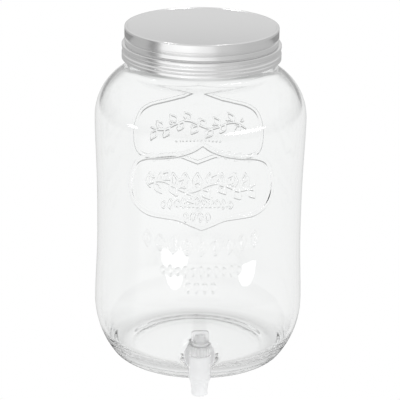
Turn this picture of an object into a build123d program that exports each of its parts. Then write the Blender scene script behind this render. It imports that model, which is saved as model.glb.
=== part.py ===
"""Glass drinks dispenser: a wide-mouth jar with a stamped metal screw lid and a clear plastic tap.

Frame: millimetres, +Z up, origin on the jar's axis at the plane that the base ring stands on.
The tap faces -Y. The lid turns and lifts about +Z. The tap's plug turns about a vertical axis.
"""

import math
import os

from build123d import *

os.makedirs("parts", exist_ok=True)

# ---------------------------------------------------------------- driving dimensions
# Jar, outside. Radii are from the jar's axis and heights from the base plane.
body_r = 103.0  # both bulges, above the heel and below the shoulder
waist_r = 100.7  # slightly drawn-in middle
heel_top_z = 56.0
waist_z = 140.0
shoulder_z = 244.0
wall = 4.0

base_ring_inner_r = 67.0
base_ring_outer_r = 76.0
heel_small_r = 12.5
heel_large_r = 85.0
punt_edge_r = 62.0
punt_edge_z = 3.2
punt_centre_z = 5.0
floor_edge_r = 66.0
floor_edge_z = 9.5
floor_step_r = 61.0
floor_step_z = 11.2
floor_centre_z = 13.0

shoulder_r = 54.0
neck_r = 71.9
neck_fillet = 5.0
finish_r = 72.6  # the threaded stretch of the neck
finish_low_z = 300.0
jar_top_z = 331.0
lip_round = 1.2

neck_thread_pitch = 6.35
neck_thread_turns = 1.2
neck_thread_bead_r = 2.2
neck_thread_low_z = 305.5

# Raised frame on the front and the back of the jar
frame_centre_z = 200.2
frame_half_width = 67.8
frame_shoulder_x = 49.8
frame_mid_x = 21.8
frame_top_rises = (47.6, 37.0, 31.0)  # at the tip, at frame_mid_x and at frame_shoulder_x
frame_low_drops = (38.7, 29.9, 28.5)
frame_ridge_width = 4.0
frame_ridge_height = 1.0

# Lid
lid_top_z = 334.0
lid_wall = 0.5
lid_r = 74.4
lid_skirt_r = 77.0
lid_bottom_z = 302.6
liner_thick = 2.0
liner_r = 73.2

# Tap
tap_z = 36.0  # height of the barrel's axis
boss_r = 17.0
boss_face_y = -103.5
pocket_r = 15.0
pocket_face_y = -98.0
tap_hole_r = 8.0
gasket_thick = 2.0
gasket_hole_r = 7.7
outer_gasket_r = 14.0
inner_gasket_r = 13.2
washer_thick = 1.4
flange_r = 15.0
flange_thick = 3.0
barrel_r = 7.5
barrel_bore_r = 4.4
barrel_end_y = -82.0
nut_flats = 21.0
nut_length = 7.0
nut_collar_r = 13.0
nut_collar_thick = 1.8
nut_bore_r = 7.6

valve_y = -121.0  # the plug's axis
housing_r = 10.75
housing_low_z = 21.5
housing_neck_r = 9.3
housing_neck_z = 44.5
housing_top_z = 50.0
valve_neck_r = 8.2
plug_bore_r = 7.55
plug_seat_z = 27.0
plug_seat_r = 6.5
spout_r = 8.3
spout_taper_z = 14.0
spout_end_r = 7.6
spout_bore_r = 5.5
spout_bore_z = 15.0
spout_end_z = 3.0

plug_r = 7.5
plug_low_z = 27.1
plug_top_z = 49.6
plug_port_r = 3.8
plug_hollow_r = 4.8
plug_hollow_z = 40.5
o_ring_zs = {"lower": 29.6, "upper": 46.4}
o_ring_line_r = 0.8
o_ring_centre_r = 6.72
stem_r = 4.4
stem_square = 5.6
stem_square_z = 55.2
stem_end_z = 62.2

bonnet_r = 11.0
bonnet_low_z = 44.7
bonnet_web_z = 50.1
bonnet_top_z = 54.5
bonnet_flutes = 20
bonnet_flute_r = 1.0
running_gap = 0.05

handle_hub_r = 8.4
handle_hub_low_z = 54.8
handle_hub_top_z = 57.4
handle_width = 16.6
handle_thick = 3.6
handle_top_z = 68.0
handle_boss_r = 4.7
handle_boss_z = 64.4
handle_corner_r = 3.2

stop_inner_r = 5.9
stop_outer_r = 8.1
stop_depth = 1.2
stop_lug_width = 1.8
stop_start_deg = 45.0
stop_travel_deg = 90.0
stop_slack_deg = 10.5


# ---------------------------------------------------------------- shared outlines
def on_circle(centre, radius, towards):
    """The point of a circle that faces another point."""
    line = Vector(*towards) - Vector(*centre)
    return tuple(Vector(*centre) + line.normalized() * radius)[:2]


def body_outline(inset, ridge=0.0):
    """Heel, side and shoulder of the jar, from the base up, moved in by inset or out by ridge."""
    shift = ridge - inset
    heel_centre = (body_r - heel_large_r, heel_top_z)
    shoulder_centre = (body_r - shoulder_r, shoulder_z)
    neck_centre_r = neck_r + neck_fillet
    reach = neck_centre_r - shoulder_centre[0]
    neck_centre = (
        neck_centre_r,
        shoulder_z + math.sqrt((shoulder_r + neck_fillet) ** 2 - reach**2),
    )
    if inset:
        foot_centre = (floor_edge_r, inner_heel_centre_z())
        foot = (floor_edge_r, floor_edge_z)
    else:
        foot_centre = (base_ring_outer_r, heel_small_r)
        foot = (base_ring_outer_r, -ridge)
    heel_r = heel_large_r + shift
    away = Vector(*foot_centre) - Vector(*heel_centre)
    join = tuple(Vector(*heel_centre) + away.normalized() * heel_r)[:2]
    side_low = (body_r + shift, heel_top_z)
    side_high = (body_r + shift, shoulder_z)
    neck_join = on_circle(shoulder_centre, shoulder_r + shift, neck_centre)
    small_arc_mid = on_circle(
        foot_centre,
        Vector(*foot).sub(Vector(*foot_centre)).length,
        ((foot[0] + join[0]) / 2, (foot[1] + join[1]) / 2),
    )
    ThreePointArc(foot, small_arc_mid, join)
    ThreePointArc(
        join,
        on_circle(heel_centre, heel_r, ((join[0] + side_low[0]) / 2, (join[1] + side_low[1]) / 2)),
        side_low,
    )
    Spline(
        side_low,
        (waist_r + 0.6 + shift, (heel_top_z + waist_z) / 2),
        (waist_r + shift, waist_z),
        (waist_r + 0.7 + shift, (waist_z + shoulder_z) / 2),
        side_high,
        tangents=((0, 1), (0, 1)),
    )
    ThreePointArc(
        side_high,
        on_circle(
            shoulder_centre,
            shoulder_r + shift,
            ((side_high[0] + neck_join[0]) / 2, (side_high[1] + neck_join[1]) / 2),
        ),
        neck_join,
    )
    neck_foot = (neck_r + shift, neck_centre[1])
    neck_mid = on_circle(
        neck_centre,
        neck_fillet - shift,
        ((neck_join[0] + neck_foot[0]) / 2, (neck_join[1] + neck_foot[1]) / 2),
    )
    ThreePointArc(neck_join, neck_mid, neck_foot)
    return foot, neck_foot


def inner_heel_centre_z():
    """Centre height of the inside heel arc, which meets the floor level and the inside wall smoothly."""
    across = floor_edge_r - (body_r - heel_large_r)
    rise = heel_top_z - floor_edge_z
    inner_r = heel_large_r - wall
    radius = (across**2 + rise**2 - inner_r**2) / (2 * (rise - inner_r))
    return floor_edge_z + radius


def raised_frame_outline(inset):
    """One edge of the raised frame: a point at the top and bottom, level shoulders, round ends."""
    for side in (1, -1):
        for (tip, mid, shoulder), up in ((frame_top_rises, 1), (frame_low_drops, -1)):
            Spline(
                (0, frame_centre_z + up * (tip - inset)),
                (side * frame_mid_x, frame_centre_z + up * (mid - inset)),
                (side * frame_shoulder_x, frame_centre_z + up * (shoulder - inset)),
                (side * (frame_half_width - inset), frame_centre_z),
                tangents=((side, -0.6 * up), (0, -up)),
            )


# ---------------------------------------------------------------- glass jar
with BuildPart() as frame_ridges:
    with BuildSketch(Plane.XZ):
        with BuildLine():
            raised_frame_outline(0)
        make_face()
        with BuildLine():
            raised_frame_outline(frame_ridge_width)
        make_face(mode=Mode.SUBTRACT)
    extrude(amount=body_r + 2 * frame_ridge_height, both=True)
    with BuildSketch(Plane.XZ):
        with BuildLine():
            low, high = body_outline(0.0, ridge=frame_ridge_height)
            Polyline(low, (0, low[1]), (0, high[1]), high)
        make_face()
    revolve(axis=Axis.Z, mode=Mode.INTERSECT)

with BuildPart() as glass_jar:
    with BuildSketch(Plane.XZ):
        with BuildLine():
            foot, neck_foot = body_outline(0.0)
            Polyline(
                neck_foot,
                (neck_r, finish_low_z - 1.0),
                (finish_r, finish_low_z + 1.0),
                (finish_r, jar_top_z),
                (0, jar_top_z),
                (0, punt_centre_z),
            )
            ThreePointArc(
                (0, punt_centre_z),
                (punt_edge_r / 2, punt_edge_z + 0.75 * (punt_centre_z - punt_edge_z)),
                (punt_edge_r, punt_edge_z),
            )
            Polyline((punt_edge_r, punt_edge_z), (base_ring_inner_r, 0), foot)
        make_face()
    revolve(axis=Axis.Z)
    add(frame_ridges.part)
    with BuildSketch(Plane.XZ.offset(-boss_face_y)):
        with Locations((0, tap_z)):
            Circle(boss_r)
    extrude(amount=-(wall + 14.0))
    with BuildSketch(Plane.XZ):
        with BuildLine():
            foot, neck_foot = body_outline(wall)
            Polyline(neck_foot, (neck_r - wall, jar_top_z + 1), (0, jar_top_z + 1), (0, floor_centre_z))
            ThreePointArc(
                (0, floor_centre_z),
                (floor_step_r / 2, floor_step_z + 0.75 * (floor_centre_z - floor_step_z)),
                (floor_step_r, floor_step_z),
            )
            Line((floor_step_r, floor_step_z), foot)
        make_face()
    revolve(axis=Axis.Z, mode=Mode.SUBTRACT)
    with BuildSketch(Plane.XZ.offset(-pocket_face_y)):
        with Locations((0, tap_z)):
            Circle(pocket_r)
    extrude(amount=-(body_r / 4), mode=Mode.SUBTRACT)
    with BuildSketch(Plane.XZ.offset(-boss_face_y)):
        with Locations((0, tap_z)):
            Circle(tap_hole_r)
    extrude(amount=-(body_r / 4), mode=Mode.SUBTRACT)
    rim_edges = glass_jar.edges().filter_by(GeomType.CIRCLE).filter_by_position(
        Axis.Z, jar_top_z - 0.01, jar_top_z + 0.01
    )
    fillet(rim_edges, lip_round)
    with BuildLine(mode=Mode.PRIVATE) as thread_line:
        Helix(
            pitch=neck_thread_pitch,
            height=neck_thread_pitch * neck_thread_turns,
            radius=finish_r,
            center=(0, 0, neck_thread_low_z),
        )
    with BuildSketch(Plane(origin=thread_line.line @ 0, z_dir=thread_line.line % 0)):
        Circle(neck_thread_bead_r)
    sweep(path=thread_line.line, is_frenet=True)
    with Locations(thread_line.line @ 0, thread_line.line @ 1):
        Sphere(neck_thread_bead_r)
glass_jar.part.label = "glass_jar"

# ---------------------------------------------------------------- lid
# The stamped wall from the panel's centre to the curl at the bottom, with each corner's radius.
lid_wall_points = (
    (0.0, lid_top_z - 0.5, None),
    (lid_r - 3.2, lid_top_z - 0.5, 0.8),
    (lid_r - 2.6, lid_top_z, 0.6),
    (lid_r, lid_top_z, 1.8),
    (lid_r, 324.6, 0.8),
    (lid_r - 0.7, 323.6, 0.6),
    (lid_r, 322.6, 0.8),
    (lid_r, 318.2, 0.6),
    (lid_r - 0.5, 317.4, 0.55),
    (lid_skirt_r, 317.0, 0.7),
    (lid_skirt_r, 314.2, 0.9),
    (lid_skirt_r - 0.7, 313.5, 0.6),
    (lid_skirt_r - 0.4, 312.6, 0.6),
    (lid_skirt_r - 1.1, 311.4, 1.0),
    (lid_skirt_r - 1.1, 309.6, 1.0),
    (lid_skirt_r, 308.6, 0.7),
    (lid_skirt_r, 307.4, 0.7),
    (lid_skirt_r - 0.7, 306.4, 0.6),
    (lid_skirt_r, 305.2, 0.8),
    (lid_skirt_r, lid_bottom_z, 0.8),
    (lid_skirt_r - 1.4, lid_bottom_z, None),
)
with BuildPart() as lid_shell:
    with BuildSketch(Plane.XZ):
        with BuildLine():
            FilletPolyline(
                *[(r, z) for r, z, _ in lid_wall_points],
                radius=[radius for _, _, radius in lid_wall_points[1:-1]],
            )
            offset(amount=lid_wall, side=Side.RIGHT)
        make_face()
    revolve(axis=Axis.Z)
lid_shell.part.label = "lid_shell"

with BuildPart() as lid_liner:
    with BuildSketch(Plane.XY.offset(jar_top_z)):
        Circle(liner_r)
    extrude(amount=liner_thick)
    chamfer(lid_liner.edges().filter_by(GeomType.CIRCLE), 0.2)
lid_liner.part.label = "lid_liner"


# ---------------------------------------------------------------- tap, fixed pieces
def ring_behind(face_y, thick, outer_r, hole_r):
    """A flat ring round the barrel's axis, from face_y away from the tap."""
    with BuildSketch(Plane.XZ.offset(-face_y)) as ring:
        with Locations((0, tap_z)):
            Circle(outer_r)
            Circle(hole_r, mode=Mode.SUBTRACT)
    extrude(ring.sketch, amount=-thick)


with BuildPart() as outer_gasket:
    ring_behind(boss_face_y - gasket_thick, gasket_thick, outer_gasket_r, gasket_hole_r)
outer_gasket.part.label = "outer_gasket"

with BuildPart() as inner_gasket:
    ring_behind(pocket_face_y, gasket_thick, inner_gasket_r, gasket_hole_r)
inner_gasket.part.label = "inner_gasket"

washer_y = pocket_face_y + gasket_thick
with BuildPart() as nut_washer:
    ring_behind(washer_y, washer_thick, inner_gasket_r, gasket_hole_r)
nut_washer.part.label = "nut_washer"

nut_y = washer_y + washer_thick
with BuildPart() as lock_nut:
    ring_behind(nut_y, nut_collar_thick, nut_collar_r, nut_bore_r)
    with BuildSketch(Plane.XZ.offset(-nut_y)):
        with Locations((0, tap_z)):
            RegularPolygon(nut_flats / 2, 6, major_radius=False)
            Circle(nut_bore_r, mode=Mode.SUBTRACT)
    extrude(amount=-nut_length)
lock_nut.part.label = "lock_nut"

flange_y = boss_face_y - gasket_thick - flange_thick
valve_plane = Plane(origin=(0, valve_y, 0), x_dir=(1, 0, 0), z_dir=(0, -1, 0))
valve_axis = Axis((0, valve_y, 0), (0, 0, 1))
with BuildPart() as spigot_body:
    with BuildSketch(valve_plane):
        with BuildLine():
            Polyline(
                (0, spout_end_z),
                (spout_end_r, spout_end_z),
                (spout_r, spout_taper_z),
            )
            Spline(
                (spout_r, spout_taper_z),
                (housing_r, housing_low_z),
                tangents=((0.1, 1), (0.25, 1)),
            )
            Polyline(
                (housing_r, housing_low_z),
                (housing_r, housing_neck_z),
                (housing_neck_r, housing_neck_z),
                (housing_neck_r, housing_top_z),
                (0, housing_top_z),
                (0, spout_end_z),
            )
        make_face()
    revolve(axis=valve_axis)
    ring_behind(flange_y, flange_thick, flange_r, barrel_bore_r)
    ring_behind(valve_y, barrel_end_y - valve_y, barrel_r, barrel_bore_r)
    ring_behind(valve_y, flange_y - valve_y, valve_neck_r, barrel_bore_r)
    with BuildSketch(valve_plane):
        Polygon(
            (0, spout_end_z - 1),
            (spout_bore_r, spout_end_z - 1),
            (spout_bore_r, spout_bore_z),
            (plug_seat_r, spout_bore_z + 8),
            (plug_seat_r, plug_seat_z),
            (plug_bore_r, plug_seat_z),
            (plug_bore_r, housing_top_z + 1),
            (0, housing_top_z + 1),
            align=None,
        )
    revolve(axis=valve_axis, mode=Mode.SUBTRACT)
    with BuildSketch(Plane.XZ.offset(-barrel_end_y)):
        with Locations((0, tap_z)):
            Circle(barrel_bore_r)
    extrude(amount=barrel_end_y - valve_y, mode=Mode.SUBTRACT)
spigot_body.part.label = "spigot_body"

with BuildPart() as bonnet_nut:
    with BuildSketch(valve_plane):
        Polygon(
            (housing_neck_r + running_gap, bonnet_low_z),
            (bonnet_r, bonnet_low_z),
            (bonnet_r, bonnet_top_z - 0.8),
            (bonnet_r - 0.8, bonnet_top_z),
            (stem_r + 2 * running_gap, bonnet_top_z),
            (stem_r + 2 * running_gap, bonnet_web_z),
            (housing_neck_r + running_gap, bonnet_web_z),
            align=None,
        )
    revolve(axis=valve_axis)
    with BuildSketch(Plane.XY.offset(bonnet_low_z)):
        with Locations((0, valve_y)):
            with PolarLocations(bonnet_r + 0.4, bonnet_flutes):
                Circle(bonnet_flute_r)
    extrude(amount=bonnet_top_z - bonnet_low_z, mode=Mode.SUBTRACT)
    with BuildSketch(Plane(origin=(0, valve_y, bonnet_top_z))):
        with BuildLine():
            arc_start = stop_start_deg - stop_slack_deg
            arc_size = stop_travel_deg + 2 * stop_slack_deg
            outer_arc = CenterArc((0, 0), stop_outer_r + 0.3, arc_start, arc_size)
            inner_arc = CenterArc((0, 0), stop_inner_r - 0.3, arc_start, arc_size)
            Line(outer_arc @ 0, inner_arc @ 0)
            Line(outer_arc @ 1, inner_arc @ 1)
        make_face()
    extrude(amount=-stop_depth, mode=Mode.SUBTRACT)
bonnet_nut.part.label = "bonnet_nut"

# ---------------------------------------------------------------- tap, turning pieces
with BuildPart() as valve_plug:
    with BuildSketch(Plane.XY.offset(plug_low_z)):
        with Locations((0, valve_y)):
            Circle(plug_r)
    extrude(amount=plug_top_z - plug_low_z)
    with BuildSketch(Plane.XY.offset(plug_top_z)):
        with Locations((0, valve_y)):
            Circle(stem_r)
    extrude(amount=stem_square_z - plug_top_z)
    with BuildSketch(Plane.XY.offset(stem_square_z)):
        with Locations((0, valve_y)):
            Rectangle(stem_square, stem_square)
    extrude(amount=stem_end_z - stem_square_z)
    with BuildSketch(Plane.XY.offset(plug_low_z)):
        with Locations((0, valve_y)):
            Circle(plug_hollow_r)
    extrude(amount=plug_hollow_z - plug_low_z, mode=Mode.SUBTRACT)
    with BuildSketch(Plane.YZ):
        with Locations((valve_y, tap_z)):
            Circle(plug_port_r)
    extrude(amount=plug_r + 1, mode=Mode.SUBTRACT)
    for groove_z in o_ring_zs.values():
        with BuildSketch(valve_plane):
            with Locations((o_ring_centre_r + o_ring_line_r / 2, groove_z)):
                Rectangle(3 * o_ring_line_r, 2.2 * o_ring_line_r)
        revolve(axis=valve_axis, mode=Mode.SUBTRACT)
valve_plug.part.label = "valve_plug"


def o_ring(height):
    """One O-ring, lying in its groove round the plug."""
    with BuildSketch(valve_plane) as section:
        with Locations((o_ring_centre_r, height)):
            Circle(o_ring_line_r)
    revolve(section.sketch, axis=valve_axis)


with BuildPart() as plug_lower_o_ring:
    o_ring(o_ring_zs["lower"])
plug_lower_o_ring.part.label = "plug_lower_o_ring"

with BuildPart() as plug_upper_o_ring:
    o_ring(o_ring_zs["upper"])
plug_upper_o_ring.part.label = "plug_upper_o_ring"

with BuildPart() as tap_handle:
    with BuildSketch(Plane(origin=(0, valve_y, handle_hub_low_z))):
        Circle(handle_hub_r)
    extrude(amount=handle_hub_top_z - handle_hub_low_z)
    fillet(tap_handle.edges().group_by(Axis.Z)[-1], 0.8)
    with BuildSketch(Plane(origin=(0, valve_y, handle_hub_top_z - 1))):
        Circle(handle_boss_r)
    extrude(amount=handle_boss_z - handle_hub_top_z + 1)
    fillet(tap_handle.edges().group_by(Axis.Z)[-1], 1.2)
    with BuildSketch(Plane(origin=(0, valve_y + handle_thick / 2, 0), x_dir=(1, 0, 0), z_dir=(0, -1, 0))):
        with Locations((0, (handle_hub_top_z - 1 + handle_top_z) / 2)):
            Rectangle(handle_width, handle_top_z - handle_hub_top_z + 1)
    extrude(amount=handle_thick)
    top_corners = tap_handle.edges().filter_by(Axis.Y).group_by(Axis.Z)[-1]
    fillet(top_corners, handle_corner_r)
    with BuildSketch(Plane(origin=(0, valve_y, handle_hub_low_z - 1))):
        Rectangle(stem_square + 2 * running_gap, stem_square + 2 * running_gap)
    extrude(amount=stem_end_z + running_gap - handle_hub_low_z + 1, mode=Mode.SUBTRACT)
    with BuildSketch(Plane(origin=(0, valve_y, handle_hub_low_z - 1))):
        Circle(stem_r + running_gap)
    extrude(amount=stem_square_z + running_gap - handle_hub_low_z + 1, mode=Mode.SUBTRACT)
    with BuildSketch(Plane(origin=(0, valve_y, handle_hub_low_z + 0.5))):
        with PolarLocations((stop_inner_r + stop_outer_r) / 2, 1, start_angle=stop_start_deg):
            Rectangle(stop_outer_r - stop_inner_r, stop_lug_width)
    extrude(amount=-(stop_depth + 0.4))
tap_handle.part.label = "tap_handle"

# ---------------------------------------------------------------- written files
for piece in (
    glass_jar,
    lid_shell,
    lid_liner,
    outer_gasket,
    inner_gasket,
    nut_washer,
    lock_nut,
    spigot_body,
    bonnet_nut,
    valve_plug,
    plug_lower_o_ring,
    plug_upper_o_ring,
    tap_handle,
):
    export_step(piece.part, f"parts/{piece.part.label}.step")
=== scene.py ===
# %% [markdown]
# # A glass drinks jar with a screw lid and a tap
# This lesson dresses a measured model of a drinks dispenser in Blender. The measured model comes from
# CAD and is a fixed frame: it says where each piece is and how it moves. The pieces made here take
# their places from it and ride on its bodies. Lengths are typed in millimetres and turned into metres.

# %% Load the frame
import math

import bmesh
import bpy
import numpy as np
from mathutils import Matrix, Vector


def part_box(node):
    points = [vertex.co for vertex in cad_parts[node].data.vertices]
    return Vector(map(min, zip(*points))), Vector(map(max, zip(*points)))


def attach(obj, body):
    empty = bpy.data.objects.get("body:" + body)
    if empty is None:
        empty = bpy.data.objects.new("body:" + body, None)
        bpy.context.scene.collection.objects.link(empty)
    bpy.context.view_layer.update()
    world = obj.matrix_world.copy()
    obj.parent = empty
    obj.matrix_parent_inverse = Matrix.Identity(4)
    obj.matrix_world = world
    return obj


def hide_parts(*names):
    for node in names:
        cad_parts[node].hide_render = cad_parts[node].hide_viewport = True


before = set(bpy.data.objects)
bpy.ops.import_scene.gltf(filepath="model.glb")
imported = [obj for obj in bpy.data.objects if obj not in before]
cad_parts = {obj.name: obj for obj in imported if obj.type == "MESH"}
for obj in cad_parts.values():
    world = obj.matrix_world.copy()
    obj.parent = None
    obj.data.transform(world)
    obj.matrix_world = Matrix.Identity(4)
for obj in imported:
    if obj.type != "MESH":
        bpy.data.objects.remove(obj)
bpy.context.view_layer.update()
print("nodes:", sorted(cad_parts))

# %% [markdown]
# ## Helpers for turned and moulded pieces
# Nearly every piece of a jar and its tap is round, so it starts as an outline of radius and height
# that is spun about an axis. Moulds and presses leave no knife edges, so corners are rounded in the
# outline, before the spin. Pieces that are not quite round are joined or cut with the Boolean
# modifier. A bmesh is Blender's editable mesh, and each piece stays one until it is stored.

# %% Helpers for outlines
MM = 0.001


def arc(centre, radius, start_deg, end_deg, count):
    """Points along a circular arc in the (radius, height) plane, in millimetres."""
    angles = np.radians(np.linspace(start_deg, end_deg, count))
    return [(centre[0] + radius * math.cos(a), centre[1] + radius * math.sin(a)) for a in angles]


def rod(radius, start, end):
    """Outline of a plain round rod between two heights, for a bore or a collar."""
    return [(0, start), (radius, start), (radius, end), (0, end)]


def round_corners(points, default, closed=False, steps=3):
    """Round the corners of an outline. A point may carry a radius of its own as a third number."""
    outline = [] if closed else [tuple(points[0][:2])]
    corners = range(len(points)) if closed else range(1, len(points) - 1)
    for k in corners:
        corner = Vector(points[k][:2])
        back = Vector(points[k - 1][:2]) - corner
        ahead = Vector(points[(k + 1) % len(points)][:2]) - corner
        radius = points[k][2] if len(points[k]) > 2 else default
        turn = math.pi - back.angle(ahead)
        reach = min(radius * math.tan(turn / 2), 0.45 * back.length, 0.45 * ahead.length)
        if reach < 0.01:
            outline.append(tuple(corner))
            continue
        start = corner + back.normalized() * reach
        end = corner + ahead.normalized() * reach
        for t in np.linspace(0, 1, steps + 1):
            outline.append(tuple(start * (1 - t) ** 2 + corner * 2 * t * (1 - t) + end * t**2))
    return outline if closed else [*outline, tuple(points[-1][:2])]


# %% Helpers for solids
def turned(outline, steps, place=Matrix(), closed=False):
    """Spin an outline in millimetres a full turn about Z, then set it in its place."""
    bm = bmesh.new()
    verts = [bm.verts.new((r * MM, 0, z * MM)) for r, z in outline]
    ends = zip(verts, verts[1:] + verts[:1]) if closed else zip(verts, verts[1:])
    edges = [bm.edges.new(pair) for pair in ends]
    bmesh.ops.spin(
        bm,
        geom=verts + edges,
        cent=(0, 0, 0),
        axis=(0, 0, 1),
        dvec=(0, 0, 0),
        angle=2 * math.pi,
        steps=steps,
        use_merge=True,
    )
    bmesh.ops.remove_doubles(bm, verts=bm.verts, dist=1e-6)
    bmesh.ops.recalc_face_normals(bm, faces=bm.faces)
    bm.transform(place)
    return bm


def block(low, high, round_by=0.0):
    """A box between two corners in millimetres, with its edges rounded."""
    bm = bmesh.new()
    bmesh.ops.create_cube(bm, size=1.0)
    size = [(h - l) * MM for l, h in zip(low, high)]
    bmesh.ops.scale(bm, vec=size, verts=bm.verts)
    middle = [(h + l) / 2 * MM for l, h in zip(low, high)]
    bmesh.ops.translate(bm, vec=middle, verts=bm.verts)
    if round_by:
        round_edges(bm, bm.edges, round_by, 2)
    return bm


def round_edges(bm, edges, radius, segments):
    """Bevel some edges by a radius in millimetres."""
    bmesh.ops.bevel(
        bm,
        geom=list(edges),
        offset=radius * MM,
        offset_type="OFFSET",
        segments=segments,
        profile=0.5,
        affect="EDGES",
        material=-1,
        clamp_overlap=True,
    )


def combine(base, other, operation):
    """Join, cut or intersect two closed bmeshes with the Boolean modifier, and use both up."""
    working = []
    for bm in (base, other):
        mesh = bpy.data.meshes.new("working")
        bm.to_mesh(mesh)
        bm.free()
        working.append(bpy.data.objects.new("working", mesh))
        bpy.context.scene.collection.objects.link(working[-1])
    boolean = working[0].modifiers.new("boolean", "BOOLEAN")
    boolean.operation = operation
    boolean.solver = "EXACT"
    boolean.object = working[1]
    result = bmesh.new()
    result.from_object(working[0], bpy.context.evaluated_depsgraph_get())
    for piece in working:
        bpy.data.objects.remove(piece)
    bmesh.ops.remove_doubles(result, verts=result.verts, dist=1e-6)
    return result


# %% Store a finished piece
def store_piece(bm, name, body, node, material, sharp_deg=35):
    """Turn a bmesh into an object that rides on a body, stands for a CAD node and has a finish."""
    open_edges = sum(edge.is_boundary for edge in bm.edges)
    mesh = bpy.data.meshes.new(name)
    bm.to_mesh(mesh)
    bm.free()
    mesh.shade_smooth()
    mesh.set_sharp_from_angle(angle=math.radians(sharp_deg))
    mesh.materials.append(material)
    piece = bpy.data.objects.new(name, mesh)
    bpy.context.scene.collection.objects.link(piece)
    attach(piece, body)
    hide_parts(node)
    triangles = sum(len(face.vertices) - 2 for face in mesh.polygons)
    print(f"{name}: {triangles} triangles, {open_edges} open edges")
    return piece


# %% [markdown]
# ## Materials
# Each finish is one Principled shader. Values that are the same all over sit on its own sockets. What
# varies over the surface, such as waviness or rolling marks, comes from noise on Object coordinates,
# so the pattern stays with the piece when it moves.


# %% A base for every material
def new_material(name, color, roughness, **sockets):
    """A Principled material, with its node tree and shader for a finish to build on."""
    material = bpy.data.materials.new(name)
    material.use_nodes = True
    shader = material.node_tree.nodes["Principled BSDF"]
    shader.inputs["Base Color"].default_value = (*color, 1)
    shader.inputs["Roughness"].default_value = roughness
    for socket, value in sockets.items():
        shader.inputs[socket.replace("_", " ")].default_value = value
    return material, material.node_tree, shader


def noise_at(tree, scale, detail=2.0, stretch=(1, 1, 1)):
    """A noise texture on Object coordinates. Scale counts bumps per metre."""
    place = tree.nodes.new("ShaderNodeTexCoord")
    mapping = tree.nodes.new("ShaderNodeMapping")
    mapping.inputs["Scale"].default_value = stretch
    noise = tree.nodes.new("ShaderNodeTexNoise")
    noise.inputs["Scale"].default_value = scale
    noise.inputs["Detail"].default_value = detail
    tree.links.new(place.outputs["Object"], mapping.inputs["Vector"])
    tree.links.new(mapping.outputs["Vector"], noise.inputs["Vector"])
    return noise.outputs["Fac"]


def add_bump(tree, shader, height, distance, strength=1.0):
    """Bend the shading normal by a height pattern. Distance is the relief in metres."""
    bump = tree.nodes.new("ShaderNodeBump")
    bump.inputs["Distance"].default_value = distance
    bump.inputs["Strength"].default_value = strength
    tree.links.new(height, bump.inputs["Height"])
    tree.links.new(bump.outputs["Normal"], shader.inputs["Normal"])


def spread_roughness(tree, shader, pattern, low, high):
    """Let a pattern from 0 to 1 run the roughness from low to high."""
    spread = tree.nodes.new("ShaderNodeMapRange")
    spread.inputs["To Min"].default_value = low
    spread.inputs["To Max"].default_value = high
    tree.links.new(pattern, spread.inputs["Value"])
    tree.links.new(spread.outputs["Result"], shader.inputs["Roughness"])


# %% Jar glass
jar_glass, tree, shader = new_material(
    "jar_glass", (0.985, 0.99, 0.988), 0.0, Transmission_Weight=1.0, IOR=1.5
)
add_bump(tree, shader, noise_at(tree, 28.0, 1.0, (1, 1, 0.5)), 0.0001)

# %% Moulded plastic, glossy on the handle, plug and collar and a little frosted on the body
clear_plastic, tree, shader = new_material(
    "clear_plastic", (0.99, 0.993, 0.996), 0.05, Transmission_Weight=0.5, IOR=1.47
)
add_bump(tree, shader, noise_at(tree, 260.0), 0.00004)
frosted_plastic, tree, shader = new_material(
    "frosted_plastic", (0.97, 0.975, 0.98), 0.3, Transmission_Weight=0.3, IOR=1.47
)
spread_roughness(tree, shader, noise_at(tree, 120.0), 0.26, 0.36)
add_bump(tree, shader, noise_at(tree, 260.0), 0.00004)

# %% Tinplate
tinplate, tree, shader = new_material("tinplate", (0.80, 0.80, 0.80), 0.3, Metallic=1.0)
spread_roughness(tree, shader, noise_at(tree, 60.0, 4.0), 0.16, 0.24)
add_bump(tree, shader, noise_at(tree, 900.0, 2.0, (1, 0.15, 1)), 0.000012)

# %% White foam, silicone, rubber and milky plastic
liner_foam, tree, shader = new_material("liner_foam", (0.90, 0.90, 0.88), 0.7)
add_bump(tree, shader, noise_at(tree, 2500.0), 0.0001)
silicone, tree, shader = new_material(
    "silicone", (0.93, 0.935, 0.935), 0.35, Transmission_Weight=0.6, IOR=1.41
)
add_bump(tree, shader, noise_at(tree, 900.0), 0.00005)
black_rubber, tree, shader = new_material("black_rubber", (0.02, 0.02, 0.022), 0.45)
add_bump(tree, shader, noise_at(tree, 1800.0), 0.00004)
milky_plastic, tree, shader = new_material(
    "milky_plastic", (0.95, 0.955, 0.96), 0.25, Transmission_Weight=0.3, IOR=1.47
)
add_bump(tree, shader, noise_at(tree, 400.0), 0.00004)
print("finishes:", [material.name for material in bpy.data.materials])

# %% [markdown]
# ## The jar's outline
# A jar is pressed in a mould and is round, so one outline spun about the axis makes it. The outline
# has a flat base ring, a heel of two arcs, a slightly drawn-in waist, a round shoulder and a straight
# neck. The rows of points lie close together only where the raised ornament will be.

# %% Outline of the outside
BODY_R = 103.0
WAIST_R = 100.7
HEEL_Z = 56.0
WAIST_Z = 140.0
SHOULDER_Z = 244.0
WALL = 4.0
RING_IN_R = 70.0
RING_OUT_R = 76.0
HEEL_SMALL_R = 12.5
HEEL_R = 85.0
SHOULDER_R = 54.0
NECK_R = 71.9
NECK_FILLET = 5.0
FINISH_R = 72.6
JAR_TOP = 331.0
ORNAMENT_Z = (93.0, 251.0)


def waist_radius(z):
    """Radius of the side, which is drawn in by a smooth curve between the two bulges."""
    span = WAIST_Z - HEEL_Z if z < WAIST_Z else SHOULDER_Z - WAIST_Z
    share = abs(z - WAIST_Z) / span
    return WAIST_R + (BODY_R - WAIST_R) * share**3 * (4 - 3 * share)


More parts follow.
